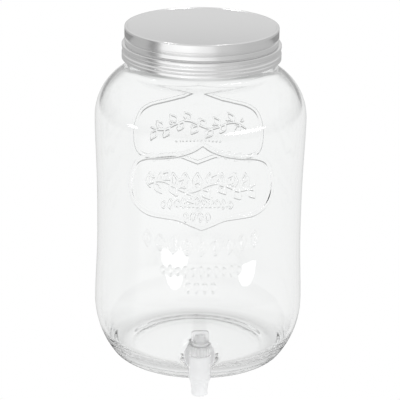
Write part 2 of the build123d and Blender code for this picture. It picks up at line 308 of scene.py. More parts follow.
heel_centre = (BODY_R - HEEL_R, HEEL_Z)
foot_centre = (RING_OUT_R, HEEL_SMALL_R)
join_deg = math.degrees(
    math.atan2(foot_centre[1] - heel_centre[1], foot_centre[0] - heel_centre[0])
)
shoulder_centre = (BODY_R - SHOULDER_R, SHOULDER_Z)
reach = NECK_R + NECK_FILLET - shoulder_centre[0]
neck_deg = math.degrees(math.acos(reach / (SHOULDER_R + NECK_FILLET)))
neck_z = SHOULDER_Z + (SHOULDER_R + NECK_FILLET) * math.sin(math.radians(neck_deg))
print(f"heel arcs meet at {join_deg:.1f} degrees, shoulder meets neck at {neck_deg:.1f} degrees")

low_side = [(waist_radius(z), z) for z in np.linspace(HEEL_Z, ORNAMENT_Z[0], 10)[1:-1]]
ornament_side = [(waist_radius(z), z) for z in np.arange(ORNAMENT_Z[0], SHOULDER_Z, 2.3)]
outside = (
    [(RING_IN_R, 0.0), (RING_IN_R + 2, 0.0), (RING_OUT_R - 2, 0.0)]
    + arc(foot_centre, HEEL_SMALL_R, -90, join_deg, 7)
    + arc(heel_centre, HEEL_R, join_deg, 0, 26)[1:]
    + low_side
    + ornament_side
    + arc(shoulder_centre, SHOULDER_R, 0, neck_deg, 26)
    + arc((NECK_R + NECK_FILLET, neck_z), NECK_FILLET, 180 + neck_deg, 180, 6)[1:]
    + [(NECK_R, 296.0), (NECK_R, 299.0), (FINISH_R, 301.0)]
    + [(FINISH_R, z) for z in np.arange(302.0, 317.0, 0.9)]
    + [(FINISH_R, z) for z in (320.0, 325.0, JAR_TOP - 1.2)]
    + arc((FINISH_R - 1.2, JAR_TOP - 1.2), 1.2, 0, 90, 5)[1:]
)
print(f"outside outline: {len(outside)} points")

# %% Outline of the inside
FLOOR_EDGE = (66.0, 9.0)
inner_heel = HEEL_R - WALL
across = FLOOR_EDGE[0] - heel_centre[0]
rise = HEEL_Z - FLOOR_EDGE[1]
corner_r = (across**2 + rise**2 - inner_heel**2) / (2 * (rise - inner_heel))
corner_centre = (FLOOR_EDGE[0], FLOOR_EDGE[1] + corner_r)
corner_deg = math.degrees(
    math.atan2(corner_centre[1] - HEEL_Z, corner_centre[0] - heel_centre[0])
)
FLOOR_CROWN = 3.5
crown = [
    (r, FLOOR_EDGE[1] + FLOOR_CROWN * (1 - (r / FLOOR_EDGE[0]) ** 2) ** 2)
    for r in np.linspace(0, FLOOR_EDGE[0], 14)[:-1]
]
inside = (
    crown
    + arc(corner_centre, corner_r, -90, corner_deg, 8)
    + arc(heel_centre, inner_heel, corner_deg, 0, 30)[1:]
    + [(waist_radius(z) - WALL, z) for z in np.arange(HEEL_Z + 6, SHOULDER_Z, 6.0)]
    + arc(shoulder_centre, SHOULDER_R - WALL, 0, neck_deg, 18)
    + arc((NECK_R + NECK_FILLET, neck_z), NECK_FILLET + WALL, 180 + neck_deg, 180, 5)[1:]
    + [(NECK_R - WALL, z) for z in np.linspace(298.0, JAR_TOP - 1.2, 8)]
    + arc((NECK_R - WALL + 1.2, JAR_TOP - 1.2), 1.2, 180, 90, 4)[1:]
)
print(f"inside outline: {len(inside)} points")

# %% [markdown]
# ## Raised ornament
# The mould has ornament cut into it, which stands 1 mm proud on the glass: a pointed frame, a leafy
# sprig in it, and rows of lozenges and beads below. Carving each shape as a mesh would be slow, so
# each is a stroke, a line with a width, laid on the unrolled wall. Every point of the wall near a
# stroke is then pushed outwards by a rounded profile.

# %% Curves for strokes on the unrolled wall
FRAME_Z = 200.2
RIDGE_HALF_WIDTH = 2.3
RIDGE_HEIGHT = 1.0
SLOPE = 0.9
NEAR = 1.1


def smooth_line(points, count=14):
    """A Catmull-Rom curve through points, as a list of (u, z) in millimetres."""
    points = [np.array(p, float) for p in points]
    padded = [2 * points[0] - points[1], *points, 2 * points[-1] - points[-2]]
    line = []
    for a, b, c, d in zip(padded, padded[1:], padded[2:], padded[3:]):
        for t in np.linspace(0, 1, count, endpoint=False):
            bend = (2 * a - 5 * b + 4 * c - d) * t**2
            swing = (3 * b - a - 3 * c + d) * t**3
            line.append(0.5 * (2 * b + (c - a) * t + bend + swing))
    return [*line, points[-1]]


def ring_line(centre, half_wide, half_high, power=1.0, count=20):
    """A closed oval, or a lozenge with a power above 1, round a centre."""
    angles = np.linspace(0, 2 * math.pi, count + 1)
    return [
        (
            centre[0] + half_wide * math.copysign(abs(math.cos(a)) ** power, math.cos(a)),
            centre[1] + half_high * math.copysign(abs(math.sin(a)) ** power, math.sin(a)),
        )
        for a in angles
    ]


def leaf_line(root, tip, belly):
    """The outline of a pointed leaf from root to tip, with belly as its half width."""
    root, tip = np.array(root, float), np.array(tip, float)
    side = np.array([-(tip - root)[1], (tip - root)[0]]) / np.linalg.norm(tip - root) * belly
    middle = root + 0.45 * (tip - root)
    return smooth_line([root, middle + side, tip], 6) + smooth_line([tip, middle - side, root], 6)


# %% The pointed frame, as half of it from its top point round the side to its bottom point
frame_half = [
    (0.0, 47.2), (9.0, 41.0), (22.0, 35.8), (37.0, 32.4), (53.0, 29.8), (64.5, 24.0), (71.6, 12.0),
    (74.0, 0.0), (72.4, -11.5), (66.0, -20.6), (53.0, -26.3), (37.0, -27.2), (22.0, -28.2),
    (9.0, -33.2), (0.0, -36.7),
]
# Each stroke is its line, its half width and its height
strokes = []
for side in (1, -1):
    line = smooth_line([(side * u, FRAME_Z + z) for u, z in frame_half], 8)
    strokes.append((line, RIDGE_HALF_WIDTH, RIDGE_HEIGHT))

# %% The sprig inside the frame
SPRIG_Z = 204.0
SPRIG_HALF = 52.0
SPRIG_WAVE = 4.5
DASHES_Z = 185.5


def sprig_height(u):
    """Height of the wavy stem at a place along it."""
    return SPRIG_Z + SPRIG_WAVE * math.sin(u / SPRIG_HALF * 2 * math.pi)


stem = [(u, sprig_height(u)) for u in np.linspace(-SPRIG_HALF, SPRIG_HALF, 25)]
strokes.append((stem, 1.3, 1.0))
for number, u in enumerate(np.linspace(-46.0, 46.0, 13)):
    root_z = sprig_height(u)
    up = 1 if number % 2 else -1
    tip = (u + 7.0, root_z + up * 10.5)
    strokes.append((leaf_line((u, root_z + up * 1.2), tip, 3.4), 1.2, 1.0))
    strokes.append((ring_line((u - 1.5, root_z - up * 5.4), 1.5, 1.5, count=8), 1.1, 0.9))
for u in np.linspace(-24.0, 24.0, 13):
    strokes.append(([(u - 0.5, DASHES_Z), (u + 0.5, DASHES_Z)], 1.2, 0.8))

# %% Rows of lozenges, leaves and beads below the frame
ROW_Z = {"large": 144.0, "middle": 119.4, "small": 103.0}
ROW_HALF = {"large": 54.0, "middle": 37.0, "small": 12.0}
ROW_SAG = 5.0
for number, u in enumerate(np.linspace(-ROW_HALF["large"], ROW_HALF["large"], 9)):
    z = ROW_Z["large"] + ROW_SAG * (u / ROW_HALF["large"]) ** 2
    if number % 2:
        strokes.append((ring_line((u, z), 4.6, 7.6, 1.6), 1.3, 1.0))
        strokes.append(([(u, z - 2.4), (u, z + 2.4)], 1.2, 1.0))
    else:
        strokes.append((leaf_line((u, z - 7.8), (u, z + 7.8), 4.4), 1.3, 1.0))
        strokes.append(([(u, z - 6.6), (u, z + 3.4)], 1.0, 0.8))
for number, u in enumerate(np.linspace(-ROW_HALF["middle"], ROW_HALF["middle"], 11)):
    half_high = 5.0 if number % 2 else 3.6
    strokes.append((ring_line((u, ROW_Z["middle"]), 2.5, half_high, 1.4), 1.2, 1.0))
for u in np.linspace(-ROW_HALF["small"], ROW_HALF["small"], 4):
    strokes.append((ring_line((u, ROW_Z["small"]), 2.2, 4.6, 1.0, 14), 1.2, 1.0))
print(f"ornament: {len(strokes)} strokes on each side")


def measure_strokes(places):
    """For each (u, z) place, how far it is pushed out, and how far it lies from a stroke's edge."""
    height = np.zeros(len(places))
    nearest = np.full(len(places), 99.0)
    for line, half_width, top in strokes:
        line = np.array(line, float)
        margin = half_width + NEAR
        low, high = line.min(0) - margin, line.max(0) + margin
        near = np.where(((places > low) & (places < high)).all(1))[0]
        if not len(near):
            continue
        start, along = line[:-1], np.diff(line, axis=0)
        gap = places[near][:, None] - start
        share = np.clip((gap * along).sum(2) / np.maximum((along**2).sum(1), 1e-9), 0, 1)
        inward = half_width - np.linalg.norm(gap - share[:, :, None] * along, axis=2).min(1)
        slope = np.clip(inward / SLOPE, 0, 1)
        height[near] = np.maximum(height[near], top * slope**2 * (3 - 2 * slope))
        nearest[near] = np.minimum(nearest[near], -inward)
    return height, nearest


# %% [markdown]
# ## Making the glass
# Glass bends light at both its walls, so the jar has to be one closed skin. A grid is wrapped round
# the outline for each wall. Where the ornament lies its faces are cut four times finer, and every
# point there is moved out by the relief. A bead raised on the neck makes the thread. The heel is then
# pressed flat for the tap, the rim and the base are closed, and the hole for the tap is drilled.

# %% Wrap a grid round each wall
FINE_DEG = 88.0
FINE_STEP = 1.16
COARSE_STEP = 3.5
TAP_HALF_DEG = 12
fine = np.arange(-FINE_DEG / 2, FINE_DEG / 2, FINE_STEP)
coarse = np.arange(FINE_DEG / 2, 180 - FINE_DEG / 2, COARSE_STEP)
outer_columns = np.concatenate([fine, coarse, fine + 180, coarse + 180]) - 90
by_tap = np.arange(-TAP_HALF_DEG, TAP_HALF_DEG, 1.0)
elsewhere = np.arange(TAP_HALF_DEG, 360 - TAP_HALF_DEG, 4.0)
inner_columns = np.concatenate([by_tap, elsewhere]) - 90


def wrap_grid(bm, outline, columns):
    """Wrap a grid about Z, with a row for each outline point and a column for each angle."""
    around, rows = len(columns), len(outline) - 1
    grid = bmesh.ops.create_grid(bm, x_segments=around, y_segments=rows, size=0.5)
    for vert in grid["verts"]:
        angle = math.radians(columns[round((vert.co.x + 0.5) * around) % around])
        r, z = outline[round((vert.co.y + 0.5) * rows)]
        vert.co = (r * math.cos(angle) * MM, r * math.sin(angle) * MM, z * MM)
    bmesh.ops.remove_doubles(bm, verts=grid["verts"], dist=1e-6)


jar = bmesh.new()
wrap_grid(jar, outside, outer_columns)
print(f"outside wall: {len(jar.verts)} points")


# %% Cut the faces finer where the ornament lies
def unroll(places):
    """Each (x, y, z) place in millimetres as (u, z) on the unrolled front or back."""
    facing = np.where(places[:, 1] < 0, 1, -1)
    angle = np.arctan2(facing * places[:, 0], -facing * places[:, 1])
    return np.stack([angle * BODY_R, places[:, 2]], axis=1)


centres = np.array([face.calc_center_median() for face in jar.faces]) / MM
from_edge = measure_strokes(unroll(centres))[1]
near_strokes = [face for face, gap in zip(jar.faces, from_edge) if gap < NEAR]
edges = list({edge for face in near_strokes for edge in face.edges})
bmesh.ops.subdivide_edges(jar, edges=edges, cuts=3, use_grid_fill=True)
print(f"{len(near_strokes)} faces cut finer, {len(jar.verts)} points")


# %% Press out the ornament
def side_radius(z):
    """Radius of the jar's side or shoulder at a height."""
    if z < SHOULDER_Z:
        return waist_radius(z)
    return shoulder_centre[0] + math.sqrt(SHOULDER_R**2 - (z - SHOULDER_Z) ** 2)


places = np.array([vert.co for vert in jar.verts]) / MM
heights = measure_strokes(unroll(places))[0]
for vert, height in zip(jar.verts, heights):
    z = vert.co.z / MM
    if ORNAMENT_Z[0] < z < ORNAMENT_Z[1]:
        outward = Vector((vert.co.x, vert.co.y, 0)).normalized()
        vert.co = outward * (side_radius(z) + float(height)) * MM + Vector((0, 0, z * MM))
print(f"ornament raised up to {heights.max():.2f} mm at {np.count_nonzero(heights)} points")

# %% Thread bead on the neck
THREAD_Z = 305.5
THREAD_PITCH = 6.35
THREAD_TURNS = 1.2
THREAD_HALF = 2.4
THREAD_RISE = 2.2
THREAD_FADE = 0.05
THREAD_ZONE = (302.5, 318.0)
for vert in jar.verts:
    z = vert.co.z / MM
    if not THREAD_ZONE[0] < z < THREAD_ZONE[1]:
        continue
    first_turn = math.atan2(vert.co.y, vert.co.x) / (2 * math.pi) % 1
    outward = Vector((vert.co.x, vert.co.y, 0)).normalized()
    for turns in (first_turn, first_turn + 1):
        off = abs(z - THREAD_Z - THREAD_PITCH * turns) / THREAD_HALF
        if turns < THREAD_TURNS and off < 1:
            taper = min(turns / THREAD_FADE, (THREAD_TURNS - turns) / THREAD_FADE, 1)
            vert.co += outward * THREAD_RISE * taper * (1 - off**2) ** 1.2 * MM
print(f"thread bead: {THREAD_TURNS} turns, {THREAD_RISE} mm proud")

# %% Flat boss for the tap, and the pocket inside it
tap_low, tap_high = (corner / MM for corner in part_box("outer_gasket"))
TAP_Z = (tap_low.z + tap_high.z) / 2
boss_y = tap_high.y
pocket_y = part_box("inner_gasket")[0].y / MM
BOSS_R = 17.0
BOSS_FILLET = 5.0
POCKET_R = 15.0
POCKET_FILLET = 2.0


def flatten_round_tap(verts, flat_y, flat_r, fillet):
    """Move the wall round the tap's axis onto a flat, and blend it into the heel over a fillet."""
    for vert in verts:
        x, y, z = vert.co / MM
        off_axis = math.hypot(x, z - TAP_Z)
        if y < 0 and off_axis < flat_r + fillet:
            share = min((flat_r + fillet - off_axis) / fillet, 1)
            share = share * share * (3 - 2 * share)
            vert.co.y = (y + (flat_y - y) * share) * MM


flatten_round_tap(jar.verts, boss_y, BOSS_R, BOSS_FILLET)
outer_count = len(jar.verts)
wrap_grid(jar, inside, inner_columns)
jar.verts.ensure_lookup_table()
flatten_round_tap(jar.verts[outer_count:], pocket_y, POCKET_R, POCKET_FILLET)
print(f"tap axis at {TAP_Z:.1f} mm, glass there {pocket_y - boss_y:.1f} mm thick")

# %% Close the rim and the base
rims = [edge for edge in jar.edges if edge.is_boundary and edge.verts[0].co.z > 0.3]
bmesh.ops.triangle_fill(jar, edges=rims, use_beauty=True, use_dissolve=False)
PUNT = [
    (68.5, 0.12),
    (66.0, 0.6),
    (63.0, 1.3),
    (59.0, 2.1),
    (53.0, 2.9),
    (45.0, 3.6),
    (34.0, 4.3),
    (18.0, 4.8),
    (0.0, 5.0),
]
wrap_grid(jar, PUNT, inner_columns)
bases = [edge for edge in jar.edges if edge.is_boundary]
bmesh.ops.triangle_fill(jar, edges=bases, use_beauty=True, use_dissolve=False)
bmesh.ops.recalc_face_normals(jar, faces=jar.faces)
print(f"closed glass: {len(jar.faces)} faces")

# %% Drill the tap's hole
TAP_HOLE_R = 8.0
ALONG_Y = Matrix.Translation((0, 0, TAP_Z * MM)) @ Matrix.Rotation(math.radians(-90), 4, "X")
drill = turned(rod(TAP_HOLE_R, -115, -85), 64, ALONG_Y)
jar = combine(jar, drill, "DIFFERENCE")
store_piece(jar, "jar_glass_wall", "jar", "glass_jar", jar_glass, 60)

# %% [markdown]
# ## Lid
# The lid is stamped from thin tinned steel: a panel set a little below a round rim, a band of fine
# ribs for grip, a groove, a plain band, an undercut and a wider skirt with rolled beads. One outline
# is spun, with two columns of points for each rib. The Solidify modifier gives the sheet its
# thickness, which also closes its lower edge.

# %% Outline of the sheet, as radius, height and corner radius
LID_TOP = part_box("lid_shell")[1].z / MM
LID_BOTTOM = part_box("lid_shell")[0].z / MM
LID_R = 74.4
SKIRT_R = 77.0
RIBS = 264
RIB_DEPTH = 0.35
SHEET_THICK = 0.5
RIB_ROWS = (325.3, 331.5)
sheet_line = round_corners(
    [
        (0.0, LID_TOP - 0.5),
        (LID_R - 3.0, LID_TOP - 0.5, 0.5),
        (LID_R - 2.3, LID_TOP, 0.5),
        (LID_R, LID_TOP, 1.5),
        (LID_R, 332.0),
        (LID_R, 331.4),
        (LID_R, 325.4),
        (LID_R, 324.5, 0.4),
        (LID_R - 1.2, 323.9, 0.3),
        (LID_R - 1.2, 323.3, 0.3),
        (LID_R, 322.6, 0.5),
        (LID_R, 318.6, 0.5),
        (LID_R - 1.3, 318.0, 0.3),
        (LID_R - 1.3, 317.2, 0.3),
        (SKIRT_R, 317.0, 0.7),
        (SKIRT_R, 314.2, 0.9),
        (SKIRT_R - 0.7, 313.5, 0.5),
        (SKIRT_R - 0.3, 312.6, 0.6),
        (SKIRT_R - 1.1, 311.4, 1.0),
        (SKIRT_R - 1.1, 309.6, 1.0),
        (SKIRT_R, 308.6, 0.7),
        (SKIRT_R, 307.4, 0.7),
        (SKIRT_R - 0.7, 306.4, 0.5),
        (SKIRT_R, 305.2, 0.8),
        (SKIRT_R, LID_BOTTOM, 0.9),
        (SKIRT_R - 1.4, LID_BOTTOM, 0.3),
        (SKIRT_R - 1.5, LID_BOTTOM + 0.8),
    ],
    0.2,
)
print(f"lid outline: {len(sheet_line)} points")

# %% Spin the sheet and press the ribs
lid = turned(sheet_line, RIBS * 2)
for vert in lid.verts:
    z = vert.co.z / MM
    column = round(math.atan2(vert.co.y, vert.co.x) / (2 * math.pi) * RIBS * 2)
    if RIB_ROWS[0] < z < RIB_ROWS[1] and column % 2:
        vert.co -= Vector((vert.co.x, vert.co.y, 0)).normalized() * RIB_DEPTH * MM
lid_piece = store_piece(lid, "lid_sheet", "lid", "lid_shell", tinplate, 36)
thicken = lid_piece.modifiers.new("sheet", "SOLIDIFY")
thicken.thickness = SHEET_THICK * MM
thicken.offset = -1.0

# %% [markdown]
# ## Liner
# A disc of white foamed plastic sits in the lid and seals on the rim. It is a low round block with
# soft edges, and its lower face is a little hollow inside the ring that meets the rim.

# %% Liner disc
liner_low, liner_high = (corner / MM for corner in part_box("lid_liner"))
liner_r = liner_high.x
liner_line = round_corners(
    [
        (0, liner_low.z + 0.25),
        (66.5, liner_low.z + 0.25, 0.3),
        (67.0, liner_low.z, 0.3),
        (liner_r, liner_low.z, 0.4),
        (liner_r, liner_high.z, 0.4),
        (0, liner_high.z),
    ],
    0.3,
)
liner = turned(liner_line, 96)
store_piece(liner, "lid_liner_disc", "lid_seal", "lid_liner", liner_foam)

# %% [markdown]
# ## Seals, washer and lock nut
# The shank of the tap passes through the wall of the jar between two soft washers. A hard washer and
# a nut with a collar clamp it from the inside. The washers are small closed outlines spun about the
# shank's axis. The nut is a six-sided cone with equal ends, joined to its collar and then bored.


# %% Soft and hard washers
def washer(name, node, hole_r, material, rounding):
    """A flat ring as large as its CAD node, with rounded edges."""
    low, high = (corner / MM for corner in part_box(node))
    corners = [(hole_r, low.y), (high.x, low.y), (high.x, high.y), (hole_r, high.y)]
    outline = round_corners(corners, rounding, closed=True)
    return store_piece(turned(outline, 64, ALONG_Y, closed=True), name, "jar", node, material)


WASHER_HOLE_R = 7.7
washer("outer_gasket_ring", "outer_gasket", WASHER_HOLE_R, silicone, 0.6)
washer("inner_gasket_ring", "inner_gasket", WASHER_HOLE_R, silicone, 0.6)
washer("nut_washer_ring", "nut_washer", WASHER_HOLE_R, milky_plastic, 0.3)

# %% Lock nut
nut_low, nut_high = (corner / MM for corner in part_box("lock_nut"))
NUT_FLATS = 21.0
NUT_BORE_R = 7.6
COLLAR_THICK = 1.8
hexagon = bmesh.new()
corner_r = NUT_FLATS / 2 / math.cos(math.pi / 6) * MM
bmesh.ops.create_cone(
    hexagon,
    cap_ends=True,
    segments=6,
    radius1=corner_r,
    radius2=corner_r,
    depth=(nut_high.y - nut_low.y) * MM,
)
round_edges(hexagon, hexagon.edges, 0.7, 2)
hexagon.transform(ALONG_Y @ Matrix.Translation((0, 0, (nut_low.y + nut_high.y) / 2 * MM)))
collar_line = round_corners(rod(nut_high.x, nut_low.y, nut_low.y + COLLAR_THICK), 0.5)
nut = combine(hexagon, turned(collar_line, 64, ALONG_Y), "UNION")
nut_bore = rod(NUT_BORE_R, nut_low.y - 1, nut_high.y + 1)
nut = combine(nut, turned(nut_bore, 64, ALONG_Y), "DIFFERENCE")
store_piece(nut, "lock_nut_moulding", "jar", "lock_nut", milky_plastic)

# %% [markdown]
# ## Tap body
# The body is one moulding: an upright housing that tapers into the spout, and a level shank with a
# flange. Each is turned about its own axis and the two are joined. The bore for the plug, the spout's
# bore and the waterway through the shank are cut last.

# %% Housing and spout
plug_low, plug_high = (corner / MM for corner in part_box("valve_plug"))
VALVE_Y = (plug_low.y + plug_high.y) / 2
UPRIGHT = Matrix.Translation((0, VALVE_Y * MM, 0))
SPOUT_END_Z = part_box("spigot_body")[0].z / MM
HOUSING_TOP_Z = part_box("spigot_body")[1].z / MM
HOUSING_R = 10.75
HOUSING_LOW_Z = 21.5
SPOUT_R = 8.3
SPOUT_TOP_Z = 14.0


def ogee(start, end, count):
    """A soft S from one (radius, height) to another."""
    steps = np.linspace(0, 1, count)
    easing = steps**2 * (3 - 2 * steps)
    return [
        (start[0] + (end[0] - start[0]) * e, start[1] + (end[1] - start[1]) * t)
        for t, e in zip(steps, easing)
    ]


housing_line = (
    round_corners([(0, SPOUT_END_Z), (7.6, SPOUT_END_Z, 0.6), (SPOUT_R, SPOUT_TOP_Z)], 0.6)[:-1]
    + ogee((SPOUT_R, SPOUT_TOP_Z), (HOUSING_R, HOUSING_LOW_Z), 9)
    + round_corners(
        [
            (HOUSING_R, HOUSING_LOW_Z),
            (HOUSING_R, 44.5, 0.5),
            (9.3, 44.5, 0.3),
            (9.3, HOUSING_TOP_Z, 0.4),
            (0, HOUSING_TOP_Z),
        ],
        0.4,
    )[1:]
)
housing = turned(housing_line, 72, UPRIGHT)
print(f"housing and spout: {len(housing.faces)} faces, axis at y {VALVE_Y:.1f} mm")

# %% Shank and flange
FLANGE_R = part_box("spigot_body")[1].x / MM
FLANGE_Y = boss_y - 2.0
SHANK_END_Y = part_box("spigot_body")[1].y / MM
THREAD_RINGS = [
    point
    for y in np.arange(-94.0, SHANK_END_Y - 1.5, 1.5)
    for point in ((7.5, y, 0.1), (6.9, y + 0.75, 0.1))
]
ARM_R = 8.2
FLANGE_THICK = 3.0
shank_line = round_corners(
    [
        (0, VALVE_Y),
        (ARM_R, VALVE_Y),
        (ARM_R, FLANGE_Y - FLANGE_THICK, 2.0),
        (FLANGE_R, FLANGE_Y - FLANGE_THICK, 1.0),
        (FLANGE_R, FLANGE_Y, 0.6),
        (7.5, FLANGE_Y, 0.3),
        *THREAD_RINGS,
        (7.5, SHANK_END_Y - 1.0, 0.3),
        (6.9, SHANK_END_Y, 0.3),
        (0, SHANK_END_Y),
    ],
    0.3,
)
spigot = combine(housing, turned(shank_line, 72, ALONG_Y), "UNION")
print(f"with shank and flange: {len(spigot.faces)} faces")

# %% Bores
bore_line = [
    (0, SPOUT_END_Z - 1),
    (5.9, SPOUT_END_Z - 1),
    (5.5, SPOUT_END_Z + 0.5),
    (5.5, 15.0),
    (6.5, 23.0),
    (6.5, 27.0),
    (7.55, 27.0),
    (7.55, HOUSING_TOP_Z + 1),
    (0, HOUSING_TOP_Z + 1),
]
SHANK_BORE_R = 4.4
waterway = rod(SHANK_BORE_R, VALVE_Y, SHANK_END_Y + 1)
spigot = combine(spigot, turned(bore_line, 64, UPRIGHT), "DIFFERENCE")
spigot = combine(spigot, turned(waterway, 48, ALONG_Y), "DIFFERENCE")
store_piece(spigot, "spigot_body_moulding", "jar", "spigot_body", frosted_plastic)

# %% [markdown]
# ## Collar
# A fluted collar holds the plug down. Its flutes are scallops, made by drawing in the points of the
# outer wall in a wave as the angle goes round. An arc-shaped groove in its top is the track for the
# lug that stops the handle: a small rectangle spun through part of a turn is cut from it.

# %% Fluted collar
bonnet_low, bonnet_high = (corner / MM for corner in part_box("bonnet_nut"))
BONNET_R = 11.0
FLUTES = 20
FLUTE_DEPTH = 0.6
collar_corners = [
    (9.35, bonnet_low.z),
    (BONNET_R, bonnet_low.z, 0.5),
    (BONNET_R, bonnet_high.z, 1.0),
    (4.5, bonnet_high.z),
    (4.5, 50.1),
    (9.35, 50.1),
]
bonnet = turned(round_corners(collar_corners, 0.2, closed=True), FLUTES * 8, UPRIGHT, closed=True)
for vert in bonnet.verts:
    out = Vector((vert.co.x, vert.co.y - VALVE_Y * MM, 0))
    if out.length > 9.9 * MM:
        wave = max(math.cos(FLUTES * math.atan2(out.y, out.x)), 0)
        vert.co -= out.normalized() * FLUTE_DEPTH * wave * MM
print(f"collar: {FLUTES} flutes, {len(bonnet.faces)} faces")

# %% Track for the stop
TRACK_START_DEG = 34.5
TRACK_SWEEP_DEG = 111.0
TRACK_LOW_Z = bonnet_high.z - 1.2
TRACK_IN_R = 5.6
TRACK_OUT_R = 8.4
track = bmesh.new()
section = [
    (TRACK_IN_R, TRACK_LOW_Z),
    (TRACK_OUT_R, TRACK_LOW_Z),
    (TRACK_OUT_R, bonnet_high.z + 1),
    (TRACK_IN_R, bonnet_high.z + 1),
]
section_face = track.faces.new([track.verts.new((r * MM, 0, z * MM)) for r, z in section])
bmesh.ops.rotate(
    track,
    verts=track.verts,
    cent=(0, 0, 0),
    matrix=Matrix.Rotation(math.radians(TRACK_START_DEG), 3, "Z"),
)
bmesh.ops.spin(
    track,
    geom=[section_face],
    cent=(0, 0, 0),
    axis=(0, 0, 1),
    dvec=(0, 0, 0),
    angle=math.radians(TRACK_SWEEP_DEG),
    steps=24,
    use_merge=False,
)
bmesh.ops.recalc_face_normals(track, faces=track.faces)
track.transform(UPRIGHT)
bonnet = combine(bonnet, track, "DIFFERENCE")
store_piece(bonnet, "bonnet_nut_moulding", "jar", "bonnet_nut", clear_plastic)

# %% [markdown]
# ## Plug and O-rings
# The plug is the part that turns. It is hollow from below, has a port in its side and a groove above
# and below the port for an O-ring, and ends in a square stem that drives it. Here it is turned with
# its grooves, joined to the stem and drilled from the side. Each ring is a small circle spun round.

# %% Turning plug
PLUG_R = 7.5
PLUG_TOP_Z = 49.6
GROOVE_R = 5.92
RING_ZS = {"lower": 29.6, "upper": 46.4}
RING_LINE_R = 0.8
RING_CENTRE_R = 6.72
SQUARE = 5.6
PORT_R = 3.8
groove_points = [
    point
    for z in RING_ZS.values()
    for point in ((PLUG_R, z - 0.9), (GROOVE_R, z - 0.9), (GROOVE_R, z + 0.9), (PLUG_R, z + 0.9))
]
plug_line = round_corners(
    [
        (0, 40.5),
        (4.8, 40.5, 0.8),
        (4.8, plug_low.z),
        (PLUG_R, plug_low.z, 0.3),
        *groove_points,
        (PLUG_R, PLUG_TOP_Z),
        (4.4, PLUG_TOP_Z),
        (4.4, 55.2),
        (0, 55.2),
    ],
    0.15,
)
half = SQUARE / 2
stem = block((-half, VALVE_Y - half, 54.5), (half, VALVE_Y + half, plug_high.z), 0.3)
plug = combine(turned(plug_line, 64, UPRIGHT), stem, "UNION")
SIDEWAYS = Matrix.Translation((0, VALVE_Y * MM, TAP_Z * MM)) @ Matrix.Rotation(math.radians(90), 4, "Y")
port = turned(rod(PORT_R, 0, 9), 40, SIDEWAYS)
plug = combine(plug, port, "DIFFERENCE")
store_piece(plug, "valve_plug_moulding", "valve", "valve_plug", clear_plastic)

# %% O-rings
for place_name, z in RING_ZS.items():
    section = arc((RING_CENTRE_R, z), RING_LINE_R, 0, 360, 15)[:-1]
    ring = turned(section, 56, UPRIGHT, closed=True)
    node = f"plug_{place_name}_o_ring"
    store_piece(ring, f"{node}_cord", "valve", node, black_rubber, 180)

# %% [markdown]
# ## Handle
# The thumb plate stands on a round hub that is pressed over the plug's square stem. The plate is a
# block whose top corners are rounded, and whose two broad faces are inset and sunk a little, which
# leaves a rim for the thumb. A lug under the hub runs in the collar's track.

# %% Hub and plate
handle_low, handle_high = (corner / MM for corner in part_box("tap_handle"))
HUB_LOW_Z = 54.8
HUB_TOP_Z = 57.4
PLATE_WIDE = 16.6
PLATE_THICK = 3.6
hub_line = round_corners(
    [
        (0, HUB_LOW_Z),
        (8.4, HUB_LOW_Z, 0.3),
        (8.4, HUB_TOP_Z, 0.9),
        (4.7, HUB_TOP_Z, 1.0),
        (4.7, 64.4, 1.4),
        (0, 64.4),
    ],
    0.3,
)
plate = block(
    (-PLATE_WIDE / 2, VALVE_Y - PLATE_THICK / 2, HUB_TOP_Z - 1),
    (PLATE_WIDE / 2, VALVE_Y + PLATE_THICK / 2, handle_high.z),
)
top_corners = [
    edge
    for edge in plate.edges
    if all(vert.co.z > 60 * MM for vert in edge.verts) and edge.verts[0].co.x == edge.verts[1].co.x
]
round_edges(plate, top_corners, 3.2, 6)
broad = [face for face in plate.faces if abs(face.normal.y) > 0.9]
bmesh.ops.inset_individual(plate, faces=broad, thickness=1.4 * MM, depth=0)
bmesh.ops.inset_individual(plate, faces=broad, thickness=0.4 * MM, depth=-0.5 * MM)
rim_edges = [
    edge for edge in plate.edges if not edge.is_boundary and edge.calc_face_angle() > math.radians(40)
]
round_edges(plate, rim_edges, 0.4, 2)
handle = combine(turned(hub_line, 64, UPRIGHT), plate, "UNION")
print(f"hub and plate: {len(handle.faces)} faces")

# %% Lug and socket
lug = block((5.9, -0.9, handle_low.z), (8.1, 0.9, HUB_LOW_Z + 0.5), 0.2)
lug.transform(UPRIGHT @ Matrix.Rotation(math.radians(45), 4, "Z"))
handle = combine(handle, lug, "UNION")
SOCKET_GAP = 0.05
half = SQUARE / 2 + SOCKET_GAP
socket = block((-half, VALVE_Y - half, 53.0), (half, VALVE_Y + half, plug_high.z + SOCKET_GAP))
handle = combine(handle, socket, "DIFFERENCE")
neck = turned(rod(4.45, 53.0, 55.25), 48, UPRIGHT)
handle = combine(handle, neck, "DIFFERENCE")
store_piece(handle, "tap_handle_moulding", "valve", "tap_handle", clear_plastic)

# %% [markdown]
# ## Studio
# Clear glass has no colour of its own, so it is drawn by what it bends and mirrors. Makers light it
# from below and behind: a glowing white sheet that ends in a darker room. Straight through the jar
# the sheet is white, while its edges and its raised ornament bend the dark room into view as thin
# grey lines. The floor here is that sheet, an even white to the eye. Bent and mirrored rays meet grey
# levels of their own painted on it: for mirrored rays, a painted reflection of a room with a bright
# window in front to the left and a dark wall next to it. A painted shadow darkens a ring close round
# the base, a little for bent rays and deeply for mirrored rays, as where a jar shades its own foot.

# %% Helpers for the floor and the sky
SHEET_R = 4.0
GLOW_R = 1.35
DIM_R = 2.3


